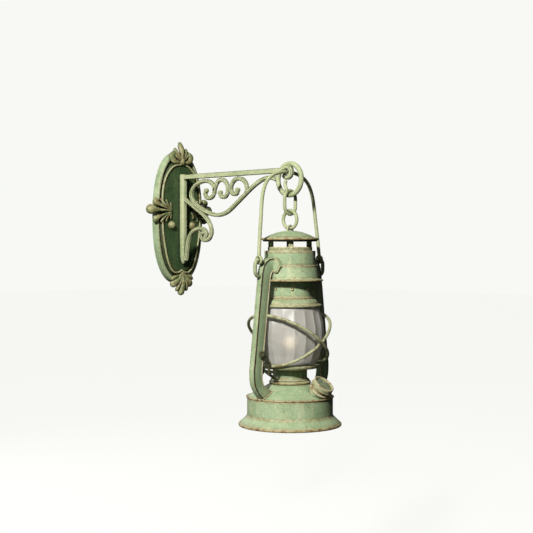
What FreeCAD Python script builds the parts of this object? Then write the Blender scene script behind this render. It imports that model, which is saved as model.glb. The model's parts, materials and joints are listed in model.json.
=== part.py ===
import FreeCAD, Part
import math
import os

import Sketcher
from FreeCAD import Placement, Rotation, Vector

# Hurricane oil lamp that hangs on a wrought wall bracket.
# Frame: origin at the centre of the wall plate's back face, +X out of the wall, +Z up, millimetres.

doc = FreeCAD.newDocument("oil_lamp")


# ---------------------------------------------------------------- driving dimensions
DIMENSIONS = {
    # wall plate
    "plate_half_wide": 46.5,
    "plate_half_tall": 99.0,
    "plate_base_thick": 7.0,
    "plate_rim_thick": 11.0,
    "plate_field_thick": 12.5,
    "plate_bead_thick": 15.5,
    "stud_gap": 41.2,
    "stud_high": -11.5,
    "stud_hole_radius": 2.25,
    # bar, arm and scrolls of the bracket
    "bar_wide": 9.0,
    "bar_front": 22.0,
    "bar_top": 65.0,
    "bar_foot": -70.0,
    "arm_high": 61.0,
    "arm_thick": 6.0,
    "arm_end": 224.0,
    "scroll_thick": 5.0,
    "scroll_deep": 5.6,
    "ring_x": 234.3,
    "ring_high": 48.0,
    "ring_radius": 21.5,
    "ring_rod": 3.2,
    "curl_x": 230.2,
    "curl_high": 58.3,
    "curl_radius": 7.2,
    "curl_thick": 6.0,
    # chain, bail and lantern axis
    "axis_x": 235.0,
    "chain_rod": 2.4,
    "hook_link_half_wide": 10.95,
    "hook_link_high": 32.45,
    "hook_link_low": 0.1,
    "round_link_radius": 12.4,
    "eye_rod": 1.4,
    "eye_radius": 5.0,
    "bail_rod": 2.5,
    "bail_eye_radius": 4.6,
    "bail_eye_rod": 1.9,
    "bail_pivot_high": -62.3,
    "bail_pivot_out": 61.5,
    "ear_rod": 2.2,
    "ear_half_wide": 7.4,
    "ear_half_tall": 11.0,
    # sheet metal of the lantern, heights measured from the row's origin
    "sheet_wall": 0.8,
    "canopy_top": -22.4,
    "canopy_radius": 38.7,
    "post_radius": 26.3,
    "post_wide": 6.8,
    "post_deep": 7.0,
    "post_top": -29.95,
    "collar_top": -45.0,
    "collar_radius": 30.6,
    "drum_top": -50.0,
    "drum_radius": 35.0,
    "skirt_top": -70.0,
    "skirt_radius": 38.2,
    "skirt_bottom": -88.0,
    "crown_rim_radius": 44.5,
    "crown_rim_bottom": -91.5,
    "neck_top": -84.0,
    "neck_bottom": -113.0,
    "neck_radius": 30.6,
    "bell_rim_radius": 42.0,
    "bell_bottom": -126.5,
    "globe_top": -124.5,
    "globe_bottom": -204.5,
    "globe_wall": 1.8,
    "globe_plate_radius": 39.2,
    "globe_plate_top": -204.8,
    "guard_rod": 2.1,
    # side tubes
    "tube_wide": 9.8,
    "tube_wall": 0.7,
    # burner and fount
    "burner_radius": 23.6,
    "bead_radius": 28.0,
    "bead_top": -228.0,
    "shoulder_top": -232.5,
    "seam_radius": 59.5,
    "seam_high": -249.8,
    "wall_bottom": -276.0,
    "base_radius": 69.9,
    "base_bottom": -290.0,
    "knob_out": 56.0,
    "knob_high": -219.0,
    "knob_radius": 8.5,
    "filler_out": 56.4,
    "filler_high": -229.8,
    "filler_tilt": 39.0,
    "filler_radius": 15.0,
    "lever_pivot_out": 62.0,
    "lever_pivot_high": -189.0,
}

sheet = doc.addObject("Spreadsheet::Sheet", "dims")
for row, (alias, number) in enumerate(DIMENSIONS.items(), start=1):
    sheet.set(f"A{row}", alias)
    sheet.set(f"B{row}", str(number))
    sheet.setAlias(f"B{row}", alias)
doc.recompute()


class Size:
    """A length with its value and the sheet expression that gives it."""

    def __init__(self, value, text):
        self.value = value
        self.text = text

    def __add__(self, other):
        other = size(other)
        return Size(self.value + other.value, f"({self.text} + {other.text})")

    def __sub__(self, other):
        other = size(other)
        return Size(self.value - other.value, f"({self.text} - {other.text})")

    def __mul__(self, factor):
        return Size(self.value * factor, f"({self.text} * {factor})")

    def __neg__(self):
        return Size(-self.value, f"(0 - {self.text})")


def size(given):
    """A Size as it is, or a plain number as one."""
    return given if isinstance(given, Size) else Size(float(given), str(float(given)))


class Dims:
    """Each cell of the sheet by its alias, as a Size."""

    def __getattr__(self, alias):
        return Size(float(sheet.get(alias)), f"dims.{alias}")


D = Dims()


# ---------------------------------------------------------------- building blocks
def bind(feature, **expressions):
    """Binds properties of a feature to sizes; a double underscore stands for a dot."""
    for name, length in expressions.items():
        feature.setExpression(name.replace("__", "."), size(length).text)


def new_body(label, x=0.0, y=0.0, z=0.0):
    """A PartDesign body placed at x, y, z."""
    body = doc.addObject("PartDesign::Body", label)
    body.Label = label
    for name, length in (("x", x), ("y", y), ("z", z)):
        length = size(length)
        if length.value:
            body.setExpression(f"Placement.Base.{name}", length.text)
    return body


def origin_plane(body, role):
    """The body's own origin plane with this role."""
    return next(item for item in body.Origin.OriginFeatures if item.Role == role)


def arc_between(start, end, radius):
    """The arc of this radius between start and end, bowing to the right of the way if positive."""
    chord = end - start
    half = chord.Length / 2
    rise = math.sqrt(max(radius * radius - half * half, 0.0))
    side = Vector(chord.y, -chord.x, 0).normalize() * math.copysign(1.0, radius)
    middle = (start + end) * 0.5 + side * (abs(radius) - rise)
    return Part.Arc(start, middle, end) if radius > 0 else Part.Arc(end, middle, start)


def sketch_outline(body, role, corners, name="outline"):
    """A closed sketch through corners (x, y) or (x, y, radius of the arc to the next corner)."""
    sketch = body.newObject("Sketcher::SketchObject", f"{body.Label}_{name}")
    sketch.AttachmentSupport = (origin_plane(body, role), [""])
    sketch.MapMode = "FlatFace"
    places = [Vector(size(c[0]).value, size(c[1]).value, 0) for c in corners]
    starts = []
    ends = []
    for index, corner in enumerate(corners):
        start = places[index]
        end = places[(index + 1) % len(places)]
        if len(corner) == 3:
            edge = arc_between(start, end, size(corner[2]).value)
            geometry = sketch.addGeometry(edge, False)
            forward = size(corner[2]).value > 0
        else:
            geometry = sketch.addGeometry(Part.LineSegment(start, end), False)
            forward = True
        starts.append((geometry, 1 if forward else 2))
        ends.append((geometry, 2 if forward else 1))
    for index, corner in enumerate(corners):
        geometry, place = starts[index]
        sketch.addConstraint(Sketcher.Constraint("Coincident", *ends[index - 1], geometry, place))
        for kind, axis, length in (("DistanceX", -2, corner[0]), ("DistanceY", -1, corner[1])):
            length = size(length)
            if length.value == 0.0:
                rule = Sketcher.Constraint("PointOnObject", geometry, place, axis)
                sketch.addConstraint(rule)
                continue
            rule = Sketcher.Constraint(kind, -1, 1, geometry, place, length.value)
            number = sketch.addConstraint(rule)
            sketch.setExpression(f"Constraints[{number}]", length.text)
        if len(corner) == 3:
            radius = size(corner[2])
            bend = radius if radius.value > 0 else -radius
            number = sketch.addConstraint(Sketcher.Constraint("Radius", geometry, bend.value))
            sketch.setExpression(f"Constraints[{number}]", bend.text)
    return sketch


def turned(label, corners, **place):
    """A body of revolution about its own Z axis from an outline of (radius, height) corners."""
    body = new_body(label, **place)
    sketch = sketch_outline(body, "XZ_Plane", corners)
    spin = body.newObject("PartDesign::Revolution", f"{label}_turned")
    spin.Profile = sketch
    spin.ReferenceAxis = (sketch, ["V_Axis"])
    spin.Angle = 360.0
    return body


def padded(label, role, corners, depth, **place):
    """A body that is an outline padded by depth, half to each side of its plane."""
    body = new_body(label, **place)
    sketch = sketch_outline(body, role, corners)
    pad = body.newObject("PartDesign::Pad", f"{label}_pad")
    pad.Profile = sketch
    pad.SideType = "Symmetric"
    bind(pad, Length=depth)
    return body


def shape_feature(label, shape):
    """A Part::Feature for a shape that neither a body nor a primitive makes."""
    feature = doc.addObject("Part::Feature", label)
    feature.Label = label
    feature.Shape = shape
    feature.Placement = Placement()
    return feature


def box_section(start, along, across, wide, deep):
    """A rectangle with cut corners, wide by deep, square to the path at its start."""
    along = Vector(along).normalize()
    across = Vector(across).normalize()
    up = along.cross(across)
    cut = 0.22
    outline = []
    for side_a, side_b in ((1, 1), (-1, 1), (-1, -1), (1, -1)):
        far = (side_a * (0.5 - cut), side_b * 0.5)
        near = (side_a * 0.5, side_b * (0.5 - cut))
        outline += [near, far] if side_a * side_b > 0 else [far, near]
    outline = [start + up * (a * wide) + across * (b * deep) for a, b in outline]
    return Part.makePolygon(outline + outline[:1])


def round_section(start, along, radius):
    """A circle square to the path at its start."""
    return Part.Wire([Part.Edge(Part.Circle(start, along, radius))])


def swept(path, section, across=Vector(0, 1, 0)):
    """The solid that a section makes along a plane path; across is square to the path's plane."""
    shell = Part.BRepOffsetAPI.MakePipeShell(Part.Wire(path))
    shell.setBiNormalMode(across)
    shell.add(section)
    shell.build()
    shell.makeSolid()
    return shell.shape()


def flat_scroll(label, points):
    """A forged scroll of flat bar in the XZ plane through points (x, z)."""
    curve = Part.BSplineCurve()
    curve.interpolate([Vector(x, 0, z) for x, z in points])
    start = curve.value(curve.FirstParameter)
    along = curve.tangent(curve.FirstParameter)[0]
    section = box_section(start, along, Vector(0, 1, 0), D.scroll_thick.value, D.scroll_deep.value)
    return shape_feature(label, swept([curve.toShape()], section))


def part_object(kind, label, **sizes):
    """A Part primitive with its sizes bound to the sheet."""
    feature = doc.addObject(f"Part::{kind}", label)
    feature.Label = label
    bind(feature, **sizes)
    return feature


def turn_to(feature, axis, angle):
    """Turns a feature about its own centre."""
    feature.Placement = Placement(feature.Placement.Base, Rotation(Vector(*axis), angle))
    return feature


def cut_from(label, base, tool):
    """The base with the tool taken away."""
    cut = doc.addObject("Part::Cut", label)
    cut.Label = label
    cut.Base = base
    cut.Tool = tool
    return cut


def grouped(label, items):
    """Several separate solids kept as one sub-part."""
    group = doc.addObject("Part::Compound", label)
    group.Label = label
    group.Links = items
    return group


# ---------------------------------------------------------------- wall plate
def oval(inset, high, power=2.35, steps=48):
    """The plate's oval outline, drawn in by inset (across, up), at a distance high from the wall."""
    half_y = D.plate_half_wide.value - inset[0]
    half_z = D.plate_half_tall.value - inset[1]
    points = []
    for step in range(steps):
        angle = 2 * math.pi * step / steps
        cos, sin = math.cos(angle), math.sin(angle)
        y = math.copysign(abs(cos) ** (2 / power), cos) * half_y
        z = math.copysign(abs(sin) ** (2 / power), sin) * half_z
        points.append(Vector(high, y, z))
    curve = Part.BSplineCurve()
    curve.interpolate(points, PeriodicFlag=True)
    return Part.Wire([curve.toShape()])


def oval_ring(outer_inset, inner_inset, low, high):
    """A raised band of the plate between two ovals."""
    outer = Part.Face(oval(outer_inset, low)).extrude(Vector(high - low, 0, 0))
    inner = Part.Face(oval(inner_inset, low - 1)).extrude(Vector(high - low + 2, 0, 0))
    return outer.cut(inner)


def build_wall_plate():
    """The cast oval plate: rim ridge, cove, bead and a flat field with two stud holes."""
    base = D.plate_base_thick.value
    field_deep = D.plate_field_thick.value - base + 1
    plate = Part.Face(oval((0.0, 0.0), 0.0)).extrude(Vector(base, 0, 0))
    plate = plate.fuse(oval_ring((0.0, 0.0), (5.4, 8.0), base - 1, D.plate_rim_thick.value))
    plate = plate.fuse(oval_ring((8.0, 15.5), (11.6, 19.5), base - 1, D.plate_bead_thick.value))
    field = Part.Face(oval((11.2, 19.1), base - 1)).extrude(Vector(field_deep, 0, 0))
    casting = shape_feature("plate_casting", plate.fuse(field).removeSplitter())
    holes = []
    for side in (-1, 1):
        name = f"stud_hole_{'right' if side > 0 else 'left'}"
        hole = part_object("Cylinder", name, Radius=D.stud_hole_radius, Height=D.plate_bead_thick * 2)
        turn_to(hole, (0, 1, 0), 90)
        bind(hole, Placement__Base__x=-D.plate_bead_thick)
        bind(hole, Placement__Base__y=D.stud_gap * (side / 2), Placement__Base__z=D.stud_high)
        holes.append(hole)
    for high in (-45.0, 40.0):
        hole = part_object("Cone", f"bar_screw_hole_{int(high)}", Radius1=4.3, Radius2=2.1, Height=2.2)
        turn_to(hole, (0, 1, 0), 90)
        bind(hole, Placement__Base__z=high)
        shank = part_object("Cylinder", f"bar_screw_shank_hole_{int(high)}", Radius=2.1)
        bind(shank, Height=D.plate_bead_thick)
        turn_to(shank, (0, 1, 0), 90)
        bind(shank, Placement__Base__z=high)
        holes += [hole, shank]
    return cut_from("wall_plate", casting, grouped("plate_holes", holes))


def leaf_lobe(centre, half, angle):
    """A rounded lobe: an ellipsoid of half sizes (out, across, along), turned in the plate's plane."""
    lobe = Part.makeSphere(1.0)
    matrix = FreeCAD.Matrix()
    matrix.scale(Vector(*half))
    lobe = lobe.transformGeometry(matrix)
    lobe.rotate(Vector(), Vector(1, 0, 0), angle)
    lobe.translate(Vector(*centre))
    return lobe


def build_leaf(label, y, z, angle, tall):
    """A cast acanthus spray whose tip points along angle, from +Z towards -Y."""
    lobes = [
        ((6.0, 0.0, tall * 0.28), (5.6, 9.5, tall * 0.42), 0),
        ((8.0, 0.0, tall * 0.55), (5.0, 3.6, tall * 0.46), 0),
        ((7.5, 5.2, tall * 0.42), (4.6, 2.6, tall * 0.32), -24),
        ((7.5, -5.2, tall * 0.42), (4.6, 2.6, tall * 0.32), 24),
        ((8.5, 9.0, 2.6), (5.2, 4.6, 5.6), -50),
        ((8.5, -9.0, 2.6), (5.2, 4.6, 5.6), 50),
        ((10.5, 0.0, -3.4), (5.0, 3.4, 5.4), 0),
    ]
    pieces = [leaf_lobe(*lobe) for lobe in lobes]
    spray = pieces[0].multiFuse(pieces[1:])
    spray.rotate(Vector(), Vector(1, 0, 0), angle)
    spray.translate(Vector(0, y, z))
    behind = Part.makeBox(40, 400, 400, Vector(-40, -200, -200))
    return shape_feature(label, spray.cut(behind))


def build_cap_nuts():
    """Two domed nuts, each with a blind bore for a wall stud."""
    nut = turned("cap_nut", [
        (1.9, 0), (5.6, 0), (5.6, 2.2, 5.9), (1.2, 6.4), (0, 6.4), (0, 4.2), (1.9, 4.2),
    ])
    nut.Placement.Rotation = Rotation(Vector(0, 1, 0), 90)
    bind(nut, Placement__Base__x=D.plate_field_thick, Placement__Base__z=D.stud_high)
    bind(nut, Placement__Base__y=D.stud_gap * 0.5)
    twin = doc.addObject("Part::Mirroring", "cap_nut_twin")
    twin.Source = nut
    twin.Normal = Vector(0, 1, 0)
    return grouped("cap_nuts", [nut, twin])


def build_bar():
    """The upright bar: square, flat on the plate's field, with a pointed foot."""
    half = D.bar_wide * 0.5
    depth = D.bar_front - D.plate_field_thick
    bar = padded("post_bar", "YZ_Plane", [
        (-half, D.bar_foot + 9), (0, D.bar_foot), (half, D.bar_foot + 9),
        (half, D.bar_top), (-half, D.bar_top),
    ], depth, x=D.plate_field_thick + depth * 0.5)
    return bar


def build_bar_screws():
    """Two countersunk screws that hold the bar from behind the plate."""
    screws = []
    for high in (-45.0, 40.0):
        screw = turned(f"bar_screw_{int(high)}", [
            (0, 0.2), (3.9, 0.2), (1.9, 2.3), (1.9, 19.0), (0, 19.0),
        ])
        screw.Placement.Rotation = Rotation(Vector(0, 1, 0), 90)
        bind(screw, Placement__Base__z=high)
        screws.append(screw)
    return grouped("bar_screws", screws)


# ---------------------------------------------------------------- arm, scrolls and ring
def build_arm():
    """The straight arm from the bar's face to the curl that holds the bail."""
    half = D.arm_thick * 0.5
    return padded("arm_bar", "XZ_Plane", [
        (D.bar_front, D.arm_high - half), (D.arm_end - 2, D.arm_high - half),
        (D.arm_end, D.arm_high + 0.5), (D.arm_end - 1, D.arm_high + half),
        (D.bar_front, D.arm_high + half),
    ], D.arm_thick)


def build_arm_curl():
    """The C-shaped end of the arm: the bail passes through it."""
    centre = Vector(D.curl_x.value, 0, D.curl_high.value)
    radius = D.curl_radius.value
    spots = []
    for degrees in (145, 0, -150):
        angle = math.radians(degrees)
        spots.append(centre + Vector(math.cos(angle), 0, math.sin(angle)) * radius)
    path = Part.Arc(*spots)
    along = Vector(math.sin(math.radians(145)), 0, -math.cos(math.radians(145)))
    thick = D.curl_thick.value
    section = box_section(spots[0], along, Vector(0, 1, 0), thick, thick)
    return shape_feature("arm_curl", swept([path.toShape()], section))


SCROLLS = {
    "brace_scroll": [
        (68.0, 38.5), (66.0, 33.0), (70.5, 28.3), (78.0, 28.2), (84.2, 33.5), (85.3, 41.5), (80.5, 48.8),
        (68.0, 53.2), (52.0, 51.0), (40.0, 43.8), (35.4, 33.0), (41.2, 22.6), (56.4, 12.8), (74.0, 5.6),
        (92.5, 2.4), (110.0, 5.4), (127.0, 15.2), (148.0, 30.0), (167.0, 42.5), (185.0, 50.6),
        (199.0, 52.0), (210.2, 48.5),
    ],
    "middle_curl": [
        (85.4, 38.0), (89.0, 46.5), (95.0, 52.6), (102.0, 53.4), (109.0, 50.0), (113.4, 42.5),
        (112.6, 33.5), (106.5, 28.3), (100.2, 29.4), (97.6, 34.4),
    ],
    "right_curl": [
        (133.2, 37.2), (131.0, 32.4), (124.6, 32.2), (120.2, 37.6), (121.4, 45.5), (128.6, 52.4),
        (138.8, 53.4), (147.6, 49.2), (152.0, 41.5), (151.4, 33.2),
    ],
    "lower_scroll": [
        (20.5, 27.6), (30.6, 22.2), (45.4, 13.4), (59.2, 5.0), (70.2, -3.6), (76.9, -13.2), (78.9, -23.6),
        (74.8, -31.2), (66.4, -34.4), (58.6, -31.2), (57.4, -25.4), (62.4, -23.0),
    ],
    "hook_scroll": [
        (23.2, -64.0), (25.6, -50.0), (28.6, -35.8), (34.8, -24.4), (43.8, -18.6), (54.0, -16.8),
        (63.2, -18.6), (68.4, -24.4), (66.6, -30.2),
    ],
}


def build_bracket():
    """Everything that stays on the wall."""
    nodes = [build_wall_plate()]
    tall, wide = D.plate_half_tall.value, D.plate_half_wide.value
    nodes.append(build_leaf("top_leaf", 0, tall - 2.0, 0, 18.0))
    nodes.append(build_leaf("bottom_leaf", 0, 3.5 - tall, 180, 26.0))
    nodes.append(build_leaf("left_leaf", 2.5 - wide, 3.0, 90, 23.0))
    nodes.append(build_leaf("right_leaf", wide - 2.5, 3.0, -90, 23.0))
    nodes += [build_cap_nuts(), build_bar(), build_bar_screws(), build_arm(), build_arm_curl()]
    nodes += [flat_scroll(label, points) for label, points in SCROLLS.items()]
    ring = part_object("Torus", "hanger_ring", Radius1=D.ring_radius, Radius2=D.ring_rod)
    turn_to(ring, (1, 0, 0), 90)
    bind(ring, Placement__Base__x=D.ring_x, Placement__Base__z=D.ring_high)
    nodes.append(ring)
    return nodes


# ---------------------------------------------------------------- chain and bail
def racetrack(half_wide, high, low, rod):
    """A closed link in the YZ plane with round ends, its end rods centred at heights high and low."""
    bend = half_wide
    top = high - bend
    foot = low + bend
    edges = [
        Part.Arc(Vector(0, -bend, top), Vector(0, 0, high), Vector(0, bend, top)).toShape(),
        Part.LineSegment(Vector(0, bend, top), Vector(0, bend, foot)).toShape(),
        Part.Arc(Vector(0, bend, foot), Vector(0, 0, low), Vector(0, -bend, foot)).toShape(),
        Part.LineSegment(Vector(0, -bend, foot), Vector(0, -bend, top)).toShape(),
    ]
    section = round_section(Vector(0, -bend, top), Vector(0, 0, 1), rod)
    return swept(edges, section, Vector(1, 0, 0))


def build_hook_link():
    """The oval link on the ring, with the bent tail of its open end standing inside the ring."""
    rod = D.chain_rod.value
    half_wide, high = D.hook_link_half_wide.value, D.hook_link_high.value
    link = racetrack(half_wide, high, D.hook_link_low.value, rod)
    start = Vector(0, -7.0, high - 2.4)
    curve = Part.BSplineCurve()
    curve.interpolate([start, Vector(-1.5, -6.8, high + 4.0), Vector(-4.0, -5.4, high + 8.6),
                       Vector(-3.4, -5.2, high + 12.4)])
    tail = Part.Wire([curve.toShape()]).makePipeShell(
        [round_section(start, curve.tangent(curve.FirstParameter)[0], rod)], True, True)
    tip = Part.makeSphere(rod, curve.value(curve.LastParameter))
    feature = shape_feature("hook_link", link.fuse(tail).fuse(tip))
    feature.Placement = Placement(Vector(D.axis_x.value, 0, 0), Rotation())
    return feature


def build_round_link():
    """The round link between the hook link and the lantern's eye."""
    link = part_object("Torus", "round_link", Radius1=D.round_link_radius, Radius2=D.chain_rod)
    turn_to(link, (1, 0, 0), 90)
    bind(link, Placement__Base__x=D.axis_x)
    bind(link, Placement__Base__z=D.hook_link_low + D.chain_rod * 2 + 0.3 - D.round_link_radius)
    return link


def build_canopy_eye():
    """The staple on top of the canopy that hangs on the round link, riveted under the canopy."""
    rod, bend = D.eye_rod.value, D.eye_radius.value
    crown = D.hook_link_low.value + 3 * D.chain_rod.value + 0.6 + rod - 2 * D.round_link_radius.value
    foot = D.canopy_top.value - 1.2
    edges = [
        Part.LineSegment(Vector(0, -bend, foot), Vector(0, -bend, crown - bend)).toShape(),
        Part.Arc(Vector(0, -bend, crown - bend), Vector(0, 0, crown), Vector(0, bend, crown - bend)).toShape(),
        Part.LineSegment(Vector(0, bend, crown - bend), Vector(0, bend, foot)).toShape(),
    ]
    staple = swept(edges, round_section(Vector(0, -bend, foot), Vector(0, 0, 1), rod), Vector(1, 0, 0))
    feature = shape_feature("canopy_eye", staple)
    feature.Placement = Placement(Vector(D.axis_x.value, 0, 0), Rotation())
    return feature


def build_bail():
    """The wire bail: two splayed legs, a flat arch through the curl and an eye round each ear."""
    rod = D.bail_rod.value
    crown_x = D.curl_x.value - D.axis_x.value
    pivot = D.bail_pivot_high.value
    out = D.bail_pivot_out.value
    lift = D.bail_eye_radius.value
    rise = D.curl_high.value - pivot
    half = [
        (out, lift), (out - 2.6, 30.0), (out - 6.6, 62.0), (out - 11.4, 90.0), (out - 20.0, 106.5),
        (out - 36.0, rise - 3.9), (0.0, rise),
    ]
    sides = [(-y, z) for y, z in half] + list(reversed(half[:-1]))
    curve = Part.BSplineCurve()
    curve.interpolate([Vector(crown_x * z / rise, y, z) for y, z in sides])
    start = curve.value(curve.FirstParameter)
    section = round_section(start, curve.tangent(curve.FirstParameter)[0], rod)
    wire = swept([curve.toShape()], section, Vector(rise, 0, -crown_x).normalize())
    for side in (-1, 1):
        eye = Part.makeTorus(lift, D.bail_eye_rod.value, Vector(0, side * out, 0), Vector(0, 1, 0))
        wire = wire.fuse(eye)
    feature = shape_feature("bail", wire)
    feature.Placement = Placement(Vector(D.axis_x.value, 0, pivot), Rotation())
    return feature


def build_ear(label, side, tube):
    """The oval ear on a side tube that the bail's eye turns on, cut to sit on the tube."""
    wide, tall, rod = D.ear_half_wide.value, D.ear_half_tall.value, D.ear_rod.value
    middle = D.bail_pivot_high.value - tall
    out = side * D.bail_pivot_out.value
    straight = tall - wide
    edges = [
        Part.Arc(Vector(0, -wide, straight), Vector(0, 0, tall), Vector(0, wide, straight)).toShape(),
        Part.LineSegment(Vector(0, wide, straight), Vector(0, wide, -straight)).toShape(),
        Part.Arc(Vector(0, wide, -straight), Vector(0, 0, -tall), Vector(0, -wide, -straight)).toShape(),
        Part.LineSegment(Vector(0, -wide, -straight), Vector(0, -wide, straight)).toShape(),
    ]
    loop = swept(edges, round_section(Vector(0, -wide, straight), Vector(0, 0, 1), rod), Vector(1, 0, 0))
    feature = shape_feature(f"{label}_loop", loop)
    feature.Placement = Placement(Vector(D.axis_x.value, out, middle), Rotation())
    return cut_from(label, feature, tube)


# ---------------------------------------------------------------- lantern head
WALL = D.sheet_wall


def build_head():
    """Canopy, posts, crown, neck and bell, from the top down, all in thin sheet."""
    place = {"x": D.axis_x}
    canopy = turned("canopy", [
        (0, D.canopy_top), (2.0, D.canopy_top, -70), (31.5, -30.4), (D.canopy_radius - 0.6, -33.4, -1.0),
        (D.canopy_radius - 0.6, -35.2), (D.canopy_radius - 2.6, -35.2), (31.3, -31.4, 70),
        (2.0, D.canopy_top - WALL), (0, D.canopy_top - WALL),
    ], **place)
    posts = []
    for number in range(4):
        post = part_object("Box", f"canopy_post_{number + 1}", Length=D.post_deep, Width=D.post_wide)
        bind(post, Height=D.post_top - D.collar_top)
        angle = math.radians(45 + 90 * number)
        across = Vector(-math.sin(angle), math.cos(angle), 0) * (D.post_wide.value / 2)
        inner = Vector(math.cos(angle), math.sin(angle), 0) * (D.post_radius.value - D.post_deep.value / 2)
        base = Vector(D.axis_x.value, 0, D.collar_top.value) + inner - across
        post.Placement = Placement(base, Rotation(Vector(0, 0, 1), 45 + 90 * number))
        posts.append(post)
    collar = turned("crown_collar", [
        (D.collar_radius, D.collar_top), (D.collar_radius, D.drum_top), (20.4, D.drum_top),
        (20.4, D.drum_top + 1), (D.collar_radius - 1, D.drum_top + 1), (D.collar_radius - 1, D.collar_top - 1),
        (20.4, D.collar_top - 1), (20.4, D.collar_top),
    ], **place)
    drum = turned("crown_drum", [
        (20.4, D.drum_top), (D.drum_radius - 1, D.drum_top), (D.drum_radius, D.drum_top - 1),
        (D.drum_radius, D.skirt_top), (D.drum_radius - WALL, D.skirt_top),
        (D.drum_radius - WALL, D.drum_top - 1.2), (20.4, D.drum_top - WALL),
    ], **place)
    skirt = turned("crown_skirt", [
        (D.drum_radius - WALL, D.skirt_top), (D.skirt_radius - 0.8, D.skirt_top), (D.skirt_radius, D.skirt_top - 1),
        (D.skirt_radius + 1.9, D.skirt_bottom), (D.crown_rim_radius, D.skirt_bottom - 1.6, -1.0),
        (D.crown_rim_radius, D.crown_rim_bottom), (D.skirt_radius + 1, D.skirt_bottom - 1.4),
        (D.skirt_radius - WALL, D.skirt_top - 1.2), (D.drum_radius - WALL, D.skirt_top - WALL),
    ], **place)
    chimney = turned("inner_chimney", [
        (19.4, D.collar_top - 1.2), (20.2, D.collar_top - 1.2), (20.2, -83.0), (24.0, -92.0),
        (23.2, -92.0), (19.4, -83.2),
    ], **place)
    struts = []
    for number in range(3):
        strut = part_object("Box", f"chimney_strut_{number + 1}", Length=13.8, Width=4.0, Height=0.8)
        angle = math.radians(30 + 120 * number)
        inner = Vector(math.cos(angle), math.sin(angle), 0) * 20.3
        across = Vector(-math.sin(angle), math.cos(angle), 0) * 2.0
        base = Vector(D.axis_x.value, 0, -66.0) + inner - across
        strut.Placement = Placement(base, Rotation(Vector(0, 0, 1), 30 + 120 * number))
        struts.append(strut)
    return [canopy, grouped("canopy_posts", posts), collar, drum, skirt, chimney,
            grouped("chimney_struts", struts)]


def build_hood():
    """The neck and bell that slide up inside the crown with the globe."""
    place = {"x": D.axis_x}
    neck = turned("neck", [
        (D.neck_radius - WALL, D.neck_top), (D.neck_radius, D.neck_top), (D.neck_radius, D.neck_bottom),
        (D.neck_radius - WALL, D.neck_bottom),
    ], **place)
    bell = turned("globe_holder", [
        (D.neck_radius - WALL, D.neck_bottom), (D.neck_radius + 0.6, D.neck_bottom, -1.2),
        (D.neck_radius + 0.6, D.neck_bottom - 2.2), (36.0, D.neck_bottom - 4.6, -7.0),
        (38.9, D.neck_bottom - 9.4), (D.bell_rim_radius, D.neck_bottom - 10.0, -2.2),
        (D.bell_rim_radius, D.bell_bottom), (41.0, D.bell_bottom), (40.6, D.neck_bottom - 11.0),
        (38.0, D.neck_bottom - 10.0), (35.2, D.neck_bottom - 5.4), (D.neck_radius - WALL, D.neck_bottom - 3.0),
    ], **place)
    rivets = []
    for number in range(8):
        rivet = part_object("Sphere", f"neck_rivet_{number + 1}", Radius=1.9)
        angle = math.radians(3.5 + 45 * number)
        out = D.neck_radius.value + 0.2
        rivet.Placement = Placement(Vector(
            D.axis_x.value + out * math.cos(angle), out * math.sin(angle), -102.4), Rotation())
        rivets.append(rivet)
    return [neck, bell, grouped("neck_rivets", rivets)]


def build_globe():
    """The clear fluted globe, as a plain shell, and the plate it stands on."""
    place = {"x": D.axis_x}
    wall = D.globe_wall
    outside = [(38.6, D.globe_top), (43.6, -141.0), (46.9, -158.0), (44.3, -182.0), (36.5, D.globe_bottom)]
    radii = [95.0, 60.0, 58.0, 36.0]
    corners = [(x, z, -r) for (x, z), r in zip(outside[:-1], radii)]
    corners.append(outside[-1])
    inside = [(x - wall.value, z) for x, z in reversed(outside)]
    corners += [(x, z, r - wall.value) for (x, z), r in zip(inside[:-1], reversed(radii))]
    corners.append(inside[-1])
    globe = turned("globe", corners, **place)
    plate = turned("globe_plate", [
        (23.0, D.globe_plate_top), (D.globe_plate_radius - 1.2, D.globe_plate_top),
        (D.globe_plate_radius, D.globe_plate_top - 1.2, -3.4), (D.globe_plate_radius - 0.8, -210.6),
        (D.globe_plate_radius - 2.0, -210.6), (36.6, D.globe_plate_top - 1.2), (23.0, D.globe_plate_top - 1.2),
    ], **place)
    return [globe, plate]


# ---------------------------------------------------------------- side tubes and guard wires
# Corners of a tube's outline (out from the lantern's axis, height, arc radius to the next) and,
# for its bore, the way inwards from each corner in wall thicknesses.
TUBE_OUTLINE = [
    ((40.4, -60.8), (-2, -1)),
    ((46.0, -61.8, -14.0), (0, -1)),
    ((58.2, -73.0, -30.0), (-1, -0.5)),
    ((60.9, -90.0), (-1, 0)),
    ((74.6, -199.0), (-1, 0)),
    ((76.0, -214.0, -34.0), (-1, 0.2)),
    ((71.4, -234.0, -30.0), (-1, 0.6)),
    ((58.8, -249.2), (-1, -1)),
    ((37.5, -237.4), (0.5, -1)),
    ((42.0, -239.4, 26.0), (0, 1)),
    ((54.6, -231.4, 14.0), (0.7, 0.6)),
    ((60.2, -217.0), (1, 0.2)),
    ((58.7, -199.0), (1, 0)),
    ((45.0, -91.0), (1, 0)),
    ((43.6, -84.0, 10.0), (1, 0.6)),
    ((40.4, -77.0), (-2, 1)),
]


def tube_corners(side, wall):
    """The tube's outline on one side of the lantern, drawn in by a wall."""
    corners = []
    for corner, inward in TUBE_OUTLINE:
        out = side * (corner[0] + inward[0] * wall)
        high = corner[1] + inward[1] * wall
        corners.append((out, high) if len(corner) == 2 else (out, high, side * corner[2]))
    return corners


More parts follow.
